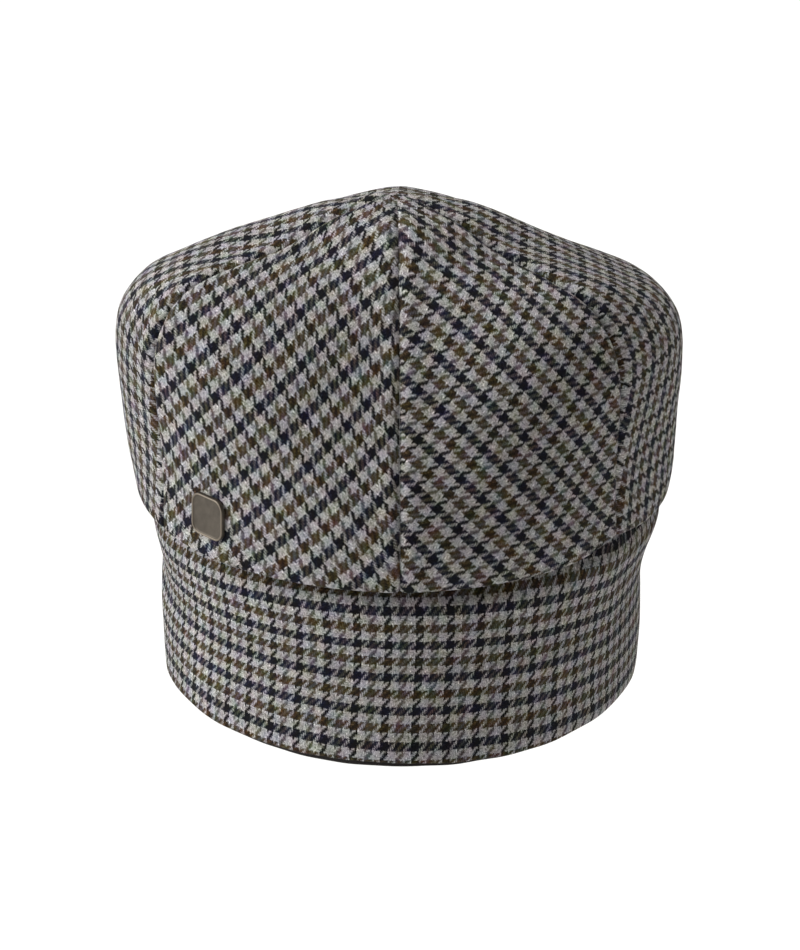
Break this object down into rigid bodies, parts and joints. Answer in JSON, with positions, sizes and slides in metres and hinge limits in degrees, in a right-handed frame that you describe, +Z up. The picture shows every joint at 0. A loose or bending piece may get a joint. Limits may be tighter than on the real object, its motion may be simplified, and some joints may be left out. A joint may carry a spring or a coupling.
{
  "type": "earflap ivy cap",
  "caption": "Checked wool ivy cap with a panelled crown, a short front peak and a wide ear flap folded down round the back and sides.",
  "frame": {"origin": "middle of the head opening, level with the crown's lower edge, where the cap sits on a head", "axes": "+Z up, +Y towards the peak, -Y towards the back of the head, +X towards the wearer's right"},
  "size_m": [0.2149, 0.2575, 0.1957],
  "materials": {
    "checked_wool": "soft milled wool twill in a small four-thread check",
    "dark_lining": "matt dark brushed cloth",
    "dull_metal": "antiqued, dull, with a worn rim"
  },
  "bodies": {
    "root": {"crown_top": "checked_wool", "back_left": "checked_wool", "back_right": "checked_wool", "ear_flap": "checked_wool", "flap_lining": "dark_lining", "peak": "checked_wool", "badge_plate": "dull_metal"}
  },
  "joints": []
}
